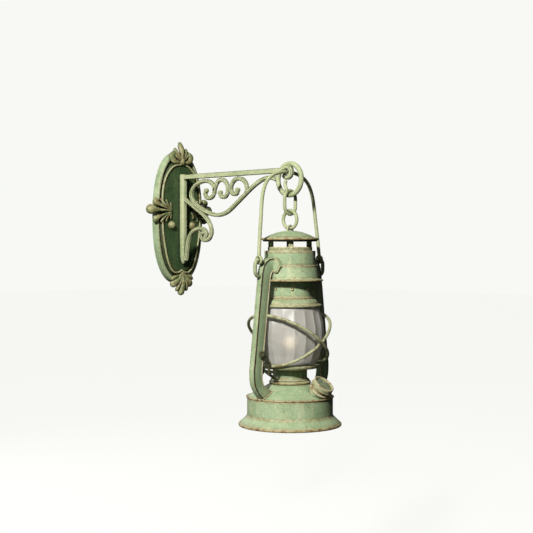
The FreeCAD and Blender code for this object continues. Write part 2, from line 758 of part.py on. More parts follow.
def build_tube(label, side):
    """One rectangular side tube, hollow, open into the crown."""
    outer = padded(f"{label}_outside", "YZ_Plane", tube_corners(side, 0.0), D.tube_wide, x=D.axis_x)
    bore = padded(f"{label}_bore", "YZ_Plane", tube_corners(side, D.tube_wall.value),
                  D.tube_wide - D.tube_wall * 2, x=D.axis_x)
    return cut_from(label, outer, bore), outer


def build_tube_collar(label, side):
    """The six-sided collar that seats a tube's mouth on the crown."""
    outline = [(-10.5, -60.2), (10.5, -60.2), (18.0, -71.5), (13.5, -79.5), (-13.5, -79.5), (-18.0, -71.5)]
    block = padded(f"{label}_block", "XZ_Plane", outline, 9.4, x=D.axis_x, y=side * 35.6)
    crown = turned(f"{label}_crown", [
        (0, -50.0), (D.drum_radius + 0.05, -50.0), (D.drum_radius + 0.05, D.skirt_top + 0.05),
        (D.skirt_radius - 0.75, D.skirt_top + 0.05), (D.skirt_radius + 0.05, D.skirt_top - 0.95),
        (D.skirt_radius + 1.95, D.skirt_bottom), (0, D.skirt_bottom),
    ], x=D.axis_x)
    return cut_from(label, block, crown)


def build_guard_wire(label, side, reach):
    """A wire ring round the globe, tilted, high at one side tube and low at the other."""
    half_y, rise, middle = 46.5, 34.5, -171.5
    tilt = math.atan2(rise, half_y)
    across = Vector(0, -side * math.cos(tilt), math.sin(tilt))
    centre = Vector(0, side * -4.5, middle)
    ellipse_plane = Vector(1, 0, 0).cross(across)
    long_half = half_y / math.cos(tilt)
    if long_half > reach:
        curve = Part.Ellipse(centre + across * long_half, centre + Vector(reach, 0, 0), centre)
    else:
        curve = Part.Ellipse(centre + Vector(reach, 0, 0), centre + across * long_half, centre)
    start = curve.value(0)
    section = round_section(start, curve.tangent(0)[0], D.guard_rod.value)
    ring = swept([curve.toShape()], section, ellipse_plane)
    feature = shape_feature(label, ring)
    feature.Placement = Placement(Vector(D.axis_x.value, 0, 0), Rotation())
    return feature


def build_frame():
    """Side tubes with their collars and ears, and the two guard wires."""
    nodes = []
    for name, side in (("left", -1), ("right", 1)):
        tube, outside = build_tube(f"{name}_tube", side)
        nodes += [tube, build_tube_collar(f"{name}_tube_collar", side)]
        nodes.append(build_ear(f"{name}_ear", side, outside))
    nodes.append(build_guard_wire("guard_wire_a", 1, 60.2))
    nodes.append(build_guard_wire("guard_wire_b", -1, 55.8))
    return nodes


# ---------------------------------------------------------------- burner
def build_burner():
    """Burner body, flame cone, wick tube, wick, wick shaft with its wheels, and the knob."""
    place = {"x": D.axis_x}
    casing = turned("burner_casing", [
        (21.0, -211.8), (D.burner_radius - 0.4, -211.8), (D.burner_radius, -212.6), (D.burner_radius, -223.5),
        (D.burner_radius + 1.4, -227.4), (D.bead_radius - 0.8, D.bead_top, -2.4),
        (D.bead_radius - 0.8, D.shoulder_top), (D.bead_radius - 3.0, D.shoulder_top),
        (D.burner_radius + 0.2, -228.2), (D.burner_radius - WALL, -223.9), (D.burner_radius - WALL, -213.0),
        (21.0, -212.6),
    ], **place)
    shaft_hole = part_object("Cylinder", "shaft_hole", Radius=1.9, Height=30.0)
    turn_to(shaft_hole, (0, 1, 0), -90)
    bind(shaft_hole, Placement__Base__x=D.axis_x - 10, Placement__Base__z=D.knob_high)
    body = cut_from("burner_body", casing, shaft_hole)
    cone = turned("flame_cone", [
        (21.6, -206.4), (22.6, -206.4), (22.6, -211.7), (21.8, -211.7), (21.8, -207.2), (17.0, -196.4, 30),
        (8.6, -187.8), (8.6, -187.0), (17.8, -195.6, -30),
    ], **place)
    wick_tube = padded("wick_tube", "XY_Plane", [(-3.0, -8.6), (3.0, -8.6), (3.0, 8.6), (-3.0, 8.6)],
                       44.0, x=D.axis_x, z=-214.0)
    cut = wick_tube.newObject("PartDesign::Pocket", "wick_channel")
    cut.Profile = sketch_outline(wick_tube, "XY_Plane", [(-1.9, -7.6), (1.9, -7.6), (1.9, 7.6), (-1.9, 7.6)],
                                 "channel_outline")
    cut.Type = "ThroughAll"
    cut.SideType = "Symmetric"
    wick = padded("wick", "XY_Plane", [(-1.2, -7.0), (1.2, -7.0), (1.2, 7.0), (-1.2, 7.0)],
                  76.0, x=D.axis_x, z=-226.0)
    shaft = turned("wick_shaft", [
        (0, 0), (1.5, 0), (1.5, 1.6), (4.4, 1.6), (4.4, 4.4), (1.5, 4.4), (1.5, 49.8), (0, 49.8),
    ])
    shaft.Placement.Rotation = Rotation(Vector(0, 1, 0), -90)
    bind(shaft, Placement__Base__x=D.axis_x - 3.4, Placement__Base__z=D.knob_high)
    knob = turned("wick_knob", [
        (0, 0), (3.2, 0), (3.2, 2.2), (D.knob_radius - 0.8, 2.2), (D.knob_radius, 3.0),
        (D.knob_radius, 5.6), (D.knob_radius - 0.8, 6.4), (0, 6.4),
    ])
    knob.Placement.Rotation = Rotation(Vector(0, 1, 0), -90)
    bind(knob, Placement__Base__x=D.axis_x - D.knob_out + 2.8, Placement__Base__z=D.knob_high)
    return [body, cone, wick_tube, wick, shaft, knob]


# ---------------------------------------------------------------- fount and filler
def build_fount():
    """Fount shoulder, wall with its flared foot and rolled edge, and the recessed bottom."""
    place = {"x": D.axis_x}
    shoulder = turned("fount_shoulder", [
        (D.bead_radius - 8, D.shoulder_top), (D.bead_radius, D.shoulder_top),
        (D.seam_radius - 1.2, D.seam_high + 0.4), (D.seam_radius, D.seam_high, -1.0),
        (D.seam_radius - 0.3, D.seam_high - 1.6), (D.seam_radius - 1.2, D.seam_high - 1.6),
        (D.seam_radius - 2.0, D.seam_high - 0.4), (D.bead_radius - 0.4, D.shoulder_top - WALL),
        (D.bead_radius - 8, D.shoulder_top - WALL),
    ], **place)
    wall = turned("fount_wall", [
        (D.seam_radius - 1.4, D.seam_high - 1.7), (D.seam_radius - 0.4, D.seam_high - 1.7),
        (D.seam_radius - 0.4, D.wall_bottom + 1), (D.seam_radius + 1.0, D.wall_bottom - 1.2),
        (D.base_radius - 1.6, -284.6, 16), (D.base_radius, -286.8, -2.2), (D.base_radius - 1.0, D.base_bottom),
        (D.base_radius - 3.0, D.base_bottom), (D.base_radius - 3.0, -285.2), (D.seam_radius + 0.4, -278.0),
        (D.seam_radius - 1.4, -276.4),
    ], **place)
    bottom = turned("fount_bottom", [
        (0, -279.0), (D.seam_radius - 3.4, -279.0), (D.seam_radius - 2.4, -278.0),
        (D.seam_radius - 1.45, -272.0), (D.seam_radius - 2.3, -272.0), (D.seam_radius - 3.4, -277.4),
        (D.seam_radius - 4.4, -278.2), (0, -278.2),
    ], **place)
    return [shoulder, wall, bottom]


def build_filler():
    """Filler neck on the shoulder, gasket and the screw cap, all about one leaning axis."""
    lean = Rotation(Vector(0, 0, 1), 7) * Rotation(Vector(0, 1, 0), D.filler_tilt.value)
    axis = lean.multVec(Vector(0, 0, 1))
    rim = Vector(D.axis_x.value + D.filler_out.value, 6.0, D.filler_high.value)
    nodes = []
    neck = turned("filler_neck", [
        (9.6, -16.0), (12.6, -16.0), (12.6, -7.0), (11.2, -5.6), (11.2, -2.2), (9.6, -2.2),
    ])
    gasket = turned("filler_gasket", [(7.0, -2.1), (11.0, -2.1), (11.0, -0.9), (7.0, -0.9)])
    cap = turned("filler_cap", [
        (0, 0.9), (12.0, 0.9), (12.6, 2.0), (D.filler_radius - 0.8, 2.0), (D.filler_radius, 1.2),
        (D.filler_radius, -3.2), (D.filler_radius - 0.8, -4.0), (11.6, -4.0), (11.6, -0.8), (0, -0.8),
    ])
    for body in (neck, gasket, cap):
        body.Placement = Placement(rim - axis * 2.0, lean)
        nodes.append(body)
    return nodes


def build_lift_lever():
    """The cranked lever that raises the globe plate, and the rivet that it turns on."""
    blank = padded("lever_blank", "YZ_Plane", [
        (-66.0, -184.6), (-60.0, -183.8), (-48.5, -200.5), (-48.5, -213.2), (-37.0, -211.3), (-33.5, -211.3),
        (-33.5, -213.6), (-36.8, -213.6), (-51.0, -216.0), (-51.0, -203.0), (-60.5, -193.6), (-66.0, -192.6),
    ], 2.4, x=D.axis_x + 7.4)
    hole = part_object("Cylinder", "lever_hole", Radius=1.56, Height=8.0)
    rivet = turned("lever_rivet", [(0, 0), (1.5, 0), (1.5, 3.9), (2.8, 3.9), (2.0, 5.2), (0, 5.2)])
    for feature, out in ((hole, 4.0), (rivet, 4.9)):
        turn_to(feature, (0, 1, 0), 90)
        bind(feature, Placement__Base__x=D.axis_x + out)
        bind(feature, Placement__Base__y=-D.lever_pivot_out, Placement__Base__z=D.lever_pivot_high)
    return [cut_from("lift_lever", blank, hole), rivet]


# ---------------------------------------------------------------- build, check and write
def faults():
    """Every object that failed to build, in words."""
    found = []
    for item in doc.Objects:
        if "Invalid" in item.State or "Error" in item.State:
            found.append(f"{item.Name}: {item.getStatusString()}")
    return found


nodes = build_bracket()
nodes += [build_hook_link(), build_round_link(), build_canopy_eye(), build_bail()]
nodes += build_head() + build_hood() + build_globe() + build_frame()
nodes += build_burner() + build_fount() + build_filler() + build_lift_lever()
doc.recompute()

problems = faults()
for node in nodes:
    if node.Shape.isNull() or not node.Shape.isValid():
        problems.append(f"{node.Label}: no valid shape")
if problems:
    raise SystemExit("\n".join(problems))

os.makedirs("parts", exist_ok=True)
for node in nodes:
    node.Shape.exportStep(f"parts/{node.Label}.step")
print(f"{len(nodes)} parts written")
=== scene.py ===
import json
import math

import bpy
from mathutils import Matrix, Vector
from mathutils.geometry import tessellate_polygon


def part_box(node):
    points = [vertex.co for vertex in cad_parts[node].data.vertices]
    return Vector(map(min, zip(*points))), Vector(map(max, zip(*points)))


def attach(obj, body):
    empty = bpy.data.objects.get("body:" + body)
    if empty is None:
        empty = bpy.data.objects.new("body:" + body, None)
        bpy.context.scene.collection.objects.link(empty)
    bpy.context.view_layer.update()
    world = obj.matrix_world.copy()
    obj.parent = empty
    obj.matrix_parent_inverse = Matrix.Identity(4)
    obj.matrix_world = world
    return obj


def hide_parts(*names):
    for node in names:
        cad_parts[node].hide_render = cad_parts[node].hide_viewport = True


# Hurricane oil lamp on a scrolled wall bracket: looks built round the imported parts.
# Shapes are given in millimetres and turned into metres where a mesh is made.
# The floor, the lights and the camera are given in metres.

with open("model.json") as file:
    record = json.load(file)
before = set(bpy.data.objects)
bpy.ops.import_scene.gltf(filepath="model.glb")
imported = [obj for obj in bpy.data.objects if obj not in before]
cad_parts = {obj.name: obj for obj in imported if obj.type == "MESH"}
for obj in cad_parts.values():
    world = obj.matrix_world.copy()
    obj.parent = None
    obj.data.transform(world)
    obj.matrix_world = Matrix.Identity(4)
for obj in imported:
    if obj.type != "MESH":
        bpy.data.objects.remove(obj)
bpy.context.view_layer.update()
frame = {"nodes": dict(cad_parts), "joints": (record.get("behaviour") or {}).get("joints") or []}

MM = 0.001
canopy_low, canopy_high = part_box("canopy")
AXIS_X = (canopy_low.x + canopy_high.x) / 2 / MM


def high_of(node):
    """The top of a CAD node, in millimetres."""
    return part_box(node)[1].z / MM


def low_of(node):
    """The bottom of a CAD node, in millimetres."""
    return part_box(node)[0].z / MM


def radius_of(node):
    """Half the width of a round CAD node, in millimetres."""
    low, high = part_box(node)
    return (high.y - low.y) / 2 / MM


# ---------------------------------------------------------------- materials
class Recipe:
    """A node material under construction. Its patterns are fixed to the object's own frame."""

    def __init__(self, name, metallic=0.0):
        self.material = bpy.data.materials.new(name)
        self.material.use_nodes = True
        self.tree = self.material.node_tree
        self.shader = self.tree.nodes["Principled BSDF"]
        self.shader.inputs["Metallic"].default_value = metallic
        self.place = self.add("ShaderNodeTexCoord").outputs["Object"]

    def add(self, kind, inputs=None, **settings):
        node = self.tree.nodes.new(kind)
        for key, value in settings.items():
            setattr(node, key, value)
        for key, value in (inputs or {}).items():
            self.feed(node.inputs[key], value)
        return node

    def feed(self, socket, value):
        if isinstance(value, bpy.types.NodeSocket):
            self.tree.links.new(value, socket)
        else:
            socket.default_value = value

    def noise(self, scale, detail=4.0, roughness=0.55, place=None):
        inputs = {"Vector": place or self.place, "Scale": scale, "Detail": detail, "Roughness": roughness}
        return self.add("ShaderNodeTexNoise", inputs).outputs["Fac"]

    def stretched(self, x, y, z):
        return self.add("ShaderNodeMapping", {"Vector": self.place, "Scale": (x, y, z)}).outputs["Vector"]

    def steps(self, value, low, high, out_low=0.0, out_high=1.0):
        inputs = {"Value": value, "From Min": low, "From Max": high, "To Min": out_low, "To Max": out_high}
        return self.add("ShaderNodeMapRange", inputs).outputs["Result"]

    def maths(self, operation, first, second=0.0):
        node = self.add("ShaderNodeMath", operation=operation)
        self.feed(node.inputs[0], first)
        self.feed(node.inputs[1], second)
        return node.outputs[0]

    def mix(self, share, first, second):
        node = self.add("ShaderNodeMix", data_type="RGBA")
        self.feed(node.inputs[0], share)
        self.feed(node.inputs[6], first)
        self.feed(node.inputs[7], second)
        return node.outputs[2]

    def edges(self, radius, gain):
        """How near a corner a point is, from the difference that rounding it would make."""
        rounded = self.add("ShaderNodeBevel", {"Radius": radius * MM}, samples=6)
        flat = self.add("ShaderNodeNewGeometry")
        same = self.add("ShaderNodeVectorMath", operation="DOT_PRODUCT")
        self.feed(same.inputs[0], rounded.outputs["Normal"])
        self.feed(same.inputs[1], flat.outputs["Normal"])
        return self.steps(same.outputs["Value"], 1.0, 1.0 - 1.0 / gain)

    def hollows(self, reach):
        """How enclosed a point is: 1 deep in a recess."""
        open_sky = self.add("ShaderNodeAmbientOcclusion", {"Distance": reach * MM}, samples=6)
        return self.steps(open_sky.outputs["AO"], 0.75, 0.2)

    def finish(self, base, roughness, relief=None, depth=0.1, round_edges=0.0):
        """Feeds the shader: base colour, roughness and a bump of relief, depth millimetres deep."""
        self.feed(self.shader.inputs["Base Color"], base)
        self.feed(self.shader.inputs["Roughness"], roughness)
        inputs = {}
        if round_edges:
            rounded = self.add("ShaderNodeBevel", {"Radius": round_edges * MM}, samples=4)
            inputs["Normal"] = rounded.outputs["Normal"]
        if relief is not None:
            inputs.update({"Height": relief, "Strength": 1.0, "Distance": depth * MM})
            bump = self.add("ShaderNodeBump", inputs)
            self.feed(self.shader.inputs["Normal"], bump.outputs["Normal"])
        return self.material


def colour(red, green, blue):
    """A display colour, 0 to 255, as the linear colour that a shader takes."""
    linear = []
    for channel in (red, green, blue):
        share = channel / 255
        linear.append(share / 12.92 if share < 0.04045 else ((share + 0.055) / 1.055) ** 2.4)
    return (*linear, 1.0)


CREAM = colour(226, 213, 166)
RUST = colour(118, 76, 40)
BROWN = colour(62, 44, 24)
OLIVE = colour(38, 48, 24)


# How sharply worn corners are picked out, and how far, in millimetres, the painted shade in the paint's
# hollows reaches.
EDGE_GAIN = 12.0
HOLLOW_REACH = 9.0


def worn_paint(name, deep, pale, edge=CREAM, edge_reach=2.6, wear=0.85, hollow=OLIVE, rust=0.66):
    """Hand-rubbed paint: clouded green, fine speckle, pale corners with rust beside them, painted shade in
    the hollows.
    """
    made = Recipe(name)
    cloud = made.steps(made.noise(42.0, 5.0), 0.36, 0.66)
    paint = made.mix(cloud, deep, pale)
    brushed = made.noise(130.0, 4.0, 0.6, made.stretched(1.0, 1.0, 0.22))
    paint = made.mix(made.steps(brushed, 0.52, 0.72, 0.0, 0.35), paint, edge)
    speckle = made.noise(1300.0, 2.0, 0.7)
    paint = made.mix(made.steps(speckle, 0.52, 0.7, 0.0, 0.68), paint, hollow)
    paint = made.mix(made.steps(speckle, 0.47, 0.3, 0.0, 0.62), paint, edge)
    spots = made.noise(240.0, 3.0, 0.6)
    paint = made.mix(made.steps(spots, rust, rust + 0.06, 0.0, 0.7), paint, RUST)
    rubbing = made.noise(190.0, 4.0, 0.6)
    corner = made.edges(edge_reach, EDGE_GAIN)
    near = made.edges(edge_reach * 1.8, EDGE_GAIN * 1.8)
    halo = made.maths("MULTIPLY", near, made.steps(rubbing, 0.36, 0.58, 0.1, 0.85))
    paint = made.mix(halo, paint, RUST)
    rubbed = made.maths("MULTIPLY", corner, made.steps(rubbing, 0.66, 0.42, 0.25, wear))
    paint = made.mix(rubbed, paint, edge)
    # Painted shade: the hollow colour laid into recesses found by ambient occlusion, a little patchy.
    hollow_shade = made.maths("MULTIPLY", made.hollows(HOLLOW_REACH), made.steps(spots, 0.3, 0.55, 0.65, 1.0))
    paint = made.mix(hollow_shade, paint, hollow)
    rough = made.steps(cloud, 0.0, 1.0, 0.56, 0.7)
    grain = made.maths("ADD", made.maths("MULTIPLY", speckle, 0.5), made.noise(420.0, 3.0))
    return made.finish(paint, rough, grain, 0.12, 0.9)


def rubbed_edge(name, base, dark, share=0.5):
    """A rolled edge or rib rubbed through to cream primer and rust, with painted brown shade in its
    hollows.
    """
    made = Recipe(name)
    band = made.noise(150.0, 5.0, 0.65)
    paint = made.mix(made.steps(band, share, share + 0.14), base, dark)
    fine = made.noise(900.0, 2.0)
    paint = made.mix(made.steps(fine, 0.56, 0.7, 0.0, 0.5), paint, BROWN)
    # Painted shade: brown laid into the hollows found by ambient occlusion.
    paint = made.mix(made.maths("MULTIPLY", made.hollows(3.0), 0.95), paint, BROWN)
    return made.finish(paint, made.steps(band, 0.3, 0.7, 0.42, 0.64), fine, 0.1)


def gilded(name):
    """Cream-gold castings with painted brown shade in every recess."""
    made = Recipe(name)
    cloud = made.noise(120.0, 4.0)
    paint = made.mix(made.steps(cloud, 0.4, 0.62), colour(160, 164, 118), colour(132, 122, 80))
    tint = made.noise(75.0, 3.0)
    paint = made.mix(made.steps(tint, 0.46, 0.6, 0.0, 0.85), paint, colour(108, 124, 80))
    rust = made.noise(210.0, 4.0, 0.62)
    paint = made.mix(made.steps(rust, 0.56, 0.66, 0.0, 0.75), paint, RUST)
    fine = made.noise(1100.0, 2.0)
    paint = made.mix(made.steps(fine, 0.56, 0.7, 0.0, 0.4), paint, BROWN)
    # Painted shade: brown laid into the recesses between the ribs, found by ambient occlusion.
    deep = made.maths("POWER", made.hollows(8.0), 0.7)
    paint = made.mix(deep, paint, BROWN)
    return made.finish(paint, made.steps(cloud, 0.3, 0.7, 0.4, 0.6), fine, 0.1)


def frosted_glass(name):
    """Frosted pressed glass, faintly hazy, with fine upright drawing lines."""
    made = Recipe(name)
    haze = made.noise(38.0, 3.0)
    tint = made.mix(made.steps(haze, 0.35, 0.65), colour(212, 211, 206), colour(196, 193, 184))
    drawn = made.noise(330.0, 3.0, 0.6, made.stretched(1.0, 1.0, 0.05))
    rough = made.steps(drawn, 0.3, 0.7, 0.34, 0.5)
    made.shader.inputs["Transmission Weight"].default_value = 0.45
    made.shader.inputs["IOR"].default_value = 1.45
    return made.finish(tint, rough, drawn, 0.05)


def aged_brass(name):
    """Pale brass, browner towards the recesses."""
    made = Recipe(name, metallic=1.0)
    stain = made.noise(160.0, 5.0)
    metal = made.mix(made.steps(stain, 0.42, 0.62), colour(216, 200, 158), colour(158, 132, 90))
    metal = made.mix(made.hollows(4.0), metal, BROWN)
    return made.finish(metal, made.steps(stain, 0.3, 0.7, 0.28, 0.55), stain, 0.06)


def dull_steel(name):
    """Dull steel with drawn scratches."""
    made = Recipe(name, metallic=1.0)
    stain = made.noise(140.0, 5.0)
    metal = made.mix(made.steps(stain, 0.4, 0.62), colour(138, 132, 120), colour(92, 80, 64))
    scratches = made.noise(500.0, 2.0, 0.5, made.stretched(1.0, 1.0, 0.08))
    return made.finish(metal, made.steps(scratches, 0.3, 0.7, 0.35, 0.6), scratches, 0.05)


def woven_cotton(name):
    """A woven wick, singed in places."""
    made = Recipe(name)
    inputs = {"Vector": made.place, "Scale": 420.0, "Distortion": 0.6}
    over = made.add("ShaderNodeTexWave", {**inputs}, bands_direction="Z").outputs["Fac"]
    under = made.add("ShaderNodeTexWave", {**inputs}, bands_direction="Y").outputs["Fac"]
    weave = made.maths("MULTIPLY", over, under)
    cloth = made.mix(weave, colour(150, 136, 108), colour(232, 224, 204))
    singed = made.noise(90.0, 3.0)
    cloth = made.mix(made.steps(singed, 0.5, 0.7, 0.0, 0.6), cloth, BROWN)
    made.shader.inputs["Sheen Weight"].default_value = 0.3
    return made.finish(cloth, 0.95, weave, 0.2)


def black_rubber(name):
    """Black rubber with a grey bloom."""
    made = Recipe(name)
    bloom = made.noise(300.0, 3.0)
    face = made.mix(made.steps(bloom, 0.45, 0.65), colour(34, 34, 32), colour(60, 58, 54))
    return made.finish(face, made.steps(bloom, 0.3, 0.7, 0.7, 0.85), bloom, 0.08)


GREEN = worn_paint("green_paint", colour(130, 158, 118), colour(160, 182, 144))
IRON = worn_paint("bracket_paint", colour(152, 168, 124), colour(184, 192, 152), edge_reach=1.2, wear=0.5,
                  edge=colour(204, 196, 150))
DARK = worn_paint("dark_green_paint", colour(40, 66, 34), colour(58, 84, 46), edge=colour(104, 122, 78),
                  wear=0.4, hollow=colour(18, 28, 14), rust=0.8)
# Painted shade: a darker copy of the green paint for the lift lever, its rivet, the wick shaft, the lift
# brace and the knob, which sit in shadow.
SHADED = worn_paint("shaded_green_paint", colour(44, 56, 34), colour(62, 76, 48), edge=colour(78, 80, 52),
                    edge_reach=0.7, wear=0.3, rust=0.8)
WIRE = rubbed_edge("wire_paint", colour(166, 168, 130), colour(112, 98, 62), 0.5)
ROLLED = rubbed_edge("rolled_edge_paint", colour(170, 156, 114), colour(122, 90, 54), 0.48)
SEAM = rubbed_edge("seam_paint", colour(182, 176, 140), colour(138, 104, 68), 0.5)
BEAD = rubbed_edge("bead_paint", colour(162, 164, 122), colour(118, 98, 62), 0.52)
DISC = worn_paint("filler_disc_paint", colour(84, 106, 80), colour(104, 124, 98), wear=0.5)
# Painted shadow: a near-black paint for the ring under the canopy and the rod along each tube's outer seam,
# where shadow lines fall.
SHADOW_LINE = rubbed_edge("painted_shadow_paint", colour(40, 34, 20), colour(24, 22, 12), 0.5)
LEAF = gilded("gilded_leaf_paint")
GLASS = frosted_glass("globe_glass")
BRASS = aged_brass("aged_brass")
STEEL = dull_steel("dull_steel")
COTTON = woven_cotton("wick_cotton")
RUBBER = black_rubber("seal_rubber")

NODE_MATERIALS = {
    IRON: ["post_bar", "arm_bar", "arm_curl", "brace_scroll", "middle_curl", "right_curl", "lower_scroll",
           "hook_scroll", "hanger_ring", "hook_link", "round_link", "canopy_eye", "bail"],
    GREEN: ["canopy", "canopy_posts", "crown_collar", "crown_drum", "crown_skirt", "left_tube_collar",
            "right_tube_collar", "left_ear", "right_ear", "neck", "globe_holder", "globe_plate",
            "burner_body", "fount_shoulder", "fount_wall", "fount_bottom", "filler_neck", "filler_cap"],
    WIRE: ["guard_wire_a", "guard_wire_b"],
    SHADED: ["lift_lever", "lever_rivet", "wick_shaft"],
    BRASS: ["neck_rivets", "flame_cone", "wick_tube"],
    STEEL: ["bar_screws", "inner_chimney", "chimney_struts"],
    COTTON: ["wick"],
    RUBBER: ["filler_gasket"],
}
for material, names in NODE_MATERIALS.items():
    for name in names:
        mesh = frame["nodes"][name].data
        mesh.materials.clear()
        mesh.materials.append(material)


# ---------------------------------------------------------------- mesh building
def make_piece(name, points, faces, material, body, stands_for=(), smooth=True):
    """A mesh piece from points in millimetres, riding on a body."""
    mesh = bpy.data.meshes.new(name)
    mesh.from_pydata([Vector(p) * MM for p in points], [], faces)
    mesh.validate()
    mesh.materials.append(material)
    for face in mesh.polygons:
        face.use_smooth = smooth
    piece = bpy.data.objects.new(name, mesh)
    bpy.context.scene.collection.objects.link(piece)
    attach(piece, body)
    if stands_for:
        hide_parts(*stands_for)
    return piece


def lofted(rings, closed_along=False):
    """Points and quads through rings with the same number of points each."""
    count = len(rings[0])
    points = [p for ring in rings for p in ring]
    faces = []
    spans = len(rings) if closed_along else len(rings) - 1
    for row in range(spans):
        after = (row + 1) % len(rings)
        for spot in range(count):
            beside = (spot + 1) % count
            here, there = row * count, after * count
            faces.append((here + spot, here + beside, there + beside, there + spot))
    return points, faces


def smooth_path(points, spans=8):
    """A Catmull-Rom curve through points given as tuples of equal length."""
    padded = [points[0], *points, points[-1]]
    made = []
    for index in range(len(points) - 1):
        a, b, c, d = (Vector(padded[index + k]) for k in range(4))
        for step in range(spans):
            t = step / spans
            made.append(0.5 * (2 * b + (c - a) * t + (2 * a - 5 * b + 4 * c - d) * t * t
                               + (3 * b - a - 3 * c + d) * t * t * t))
    made.append(Vector(points[-1]))
    return made


def rod(path, radii, flat=1.0, outward=Vector((1, 0, 0)), sides=14, round_end=True):
    """A tapered rod along a path; flat squashes it along outward."""
    rings = []
    tangents = []
    for index, point in enumerate(path):
        before = path[max(index - 1, 0)]
        after = path[min(index + 1, len(path) - 1)]
        tangents.append((after - before).normalized())
    stations = [(path[i], tangents[i], radii[i]) for i in range(len(path))]
    if round_end:
        tip, along, radius = stations[-1]
        for angle in (25, 45, 62, 76, 86):
            turn = math.radians(angle)
            stations.append((tip + along * radius * math.sin(turn), along, radius * math.cos(turn)))
    for point, along, radius in stations:
        across = along.cross(outward).normalized()
        up = across.cross(along).normalized()
        ring = []
        for side in range(sides):
            angle = 2 * math.pi * side / sides
            ring.append(point + across * radius * math.cos(angle) + up * radius * flat * math.sin(angle))
        rings.append(ring)
    points, faces = lofted(rings)
    last = len(rings) - 1
    faces.append(tuple(last * sides + side for side in range(sides)))
    faces.append(tuple(reversed(range(sides))))
    return points, faces


def circle(x, y, z, radius, steps):
    """Points round (y, z) in the plane at x."""
    points = []
    for step in range(steps):
        angle = 2 * math.pi * step / steps
        points.append(Vector((x, y + radius * math.cos(angle), z + radius * math.sin(angle))))
    return points


def joined(parts):
    """Several (points, faces) as one."""
    points, faces = [], []
    for some_points, some_faces in parts:
        start = len(points)
        points += some_points
        faces += [tuple(index + start for index in face) for face in some_faces]
    return points, faces


def turned(outline, steps=128, ripple=None):
    """Points and faces of a closed outline (radius, height) turned about the lantern's axis."""
    rings = []
    for step in range(steps):
        angle = 2 * math.pi * step / steps
        ring = []
        for radius, height in outline:
            reach = radius - (ripple(angle, height) if ripple else 0.0)
            ring.append(Vector((AXIS_X + reach * math.cos(angle), reach * math.sin(angle), height)))
        rings.append(ring)
    return lofted(rings, closed_along=True)


def edge_ring(name, radius, height, half_wide, half_tall, body, material):
    """A rolled wire edge round the lantern."""
    outline = []
    for step in range(12):
        angle = -2 * math.pi * step / 12
        outline.append((radius + half_wide * math.cos(angle), height + half_tall * math.sin(angle)))
    points, faces = turned(outline)
    make_piece(name, points, faces, material, body)


# ---------------------------------------------------------------- wall plate
PLATE_HALF_WIDE = 46.5
PLATE_HALF_TALL = 99.0
PLATE_POWER = 2.35
PLATE_STEPS = 120


def plate_ring(inset_wide, inset_tall, high):
    """One oval of the plate, drawn in from its edge, at a height from the wall."""
    ring = []
    for step in range(PLATE_STEPS):
        angle = 2 * math.pi * step / PLATE_STEPS
        cos, sin = math.cos(angle), math.sin(angle)
        across = math.copysign(abs(cos) ** (2 / PLATE_POWER), cos) * (PLATE_HALF_WIDE - inset_wide)
        along = math.copysign(abs(sin) ** (2 / PLATE_POWER), sin) * (PLATE_HALF_TALL - inset_tall)
        ring.append(Vector((high, across, along)))
    return ring


FIELD_HIGH = 12.5
# Courses of the plate: drawn in from its edge across and along, and the height from the wall.
RIM_PROFILE = [
    (0.0, 0.0, 0.0), (0.0, 0.0, 6.5), (0.3, 0.4, 8.6), (1.1, 1.5, 10.2), (2.3, 3.2, 11.0), (3.6, 5.0, 11.0),
    (4.6, 6.5, 10.4), (5.2, 7.6, 9.4),
]
COVE_PROFILE = [
    (5.2, 7.6, 9.4), (5.5, 8.4, 8.0), (6.1, 10.2, 7.2), (7.0, 12.8, 7.4), (7.9, 15.2, 8.8),
    (8.4, 16.4, 10.6), (9.0, 17.2, 12.2), (10.6, 18.8, 12.7), (12.4, 20.6, FIELD_HIGH),
    (20.0, 34.0, FIELD_HIGH), (32.0, 68.0, FIELD_HIGH), (43.0, 92.0, FIELD_HIGH),
]


def build_plate():
    """The plate as a rounded rim and a coved dark field; build_bead lays the bead over their join."""
    rings = [plate_ring(*spot) for spot in RIM_PROFILE]
    points, faces = lofted(rings)
    make_piece("plate_rim", points, faces, GREEN, "bracket", ["wall_plate"])
    rings = [plate_ring(*spot) for spot in COVE_PROFILE]
    points, faces = lofted(rings)
    last = (len(rings) - 1) * PLATE_STEPS
    faces.append(tuple(last + step for step in range(PLATE_STEPS)))
    make_piece("plate_field", points, faces, DARK, "bracket")


# Where the wall studs come through, as (y, z), and each hole's (depth from the back, radius) down its bore.
STUD_SPOTS = [(-20.6, -11.5), (20.6, -11.5)]
STUD_HOLE = [(0.0, 2.25), (FIELD_HIGH, 2.25)]
SCREW_HOLE = [(0.0, 4.3), (2.2, 2.1), (FIELD_HIGH, 2.1)]
HOLE_STEPS = 32


def build_plate_back():
    """The plate's flat back, open at its two stud bores and its two countersunk screw holes."""
    low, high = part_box("bar_screws")
    head = (high.y - low.y) / 2
    screw_spots = [(0.0, (low.z + head) / MM), (0.0, (high.z - head) / MM)]
    loops = [plate_ring(0.0, 0.0, 0.0)]
    parts = []
    for spots, profile in ((STUD_SPOTS, STUD_HOLE), (screw_spots, SCREW_HOLE)):
        for y, z in spots:
            rings = [circle(deep, y, z, radius, HOLE_STEPS) for deep, radius in profile]
            parts.append(lofted(rings))
            loops.append(rings[0])
    corners = [point for loop in loops for point in loop]
    triangles = []
    for first, second, third in tessellate_polygon(loops):
        facing = (corners[second] - corners[first]).cross(corners[third] - corners[first]).x
        triangles.append((first, third, second) if facing > 0 else (first, second, third))
    parts.append((corners, triangles))
    points, faces = joined(parts)
    make_piece("plate_back", points, faces, GREEN, "bracket", smooth=False)


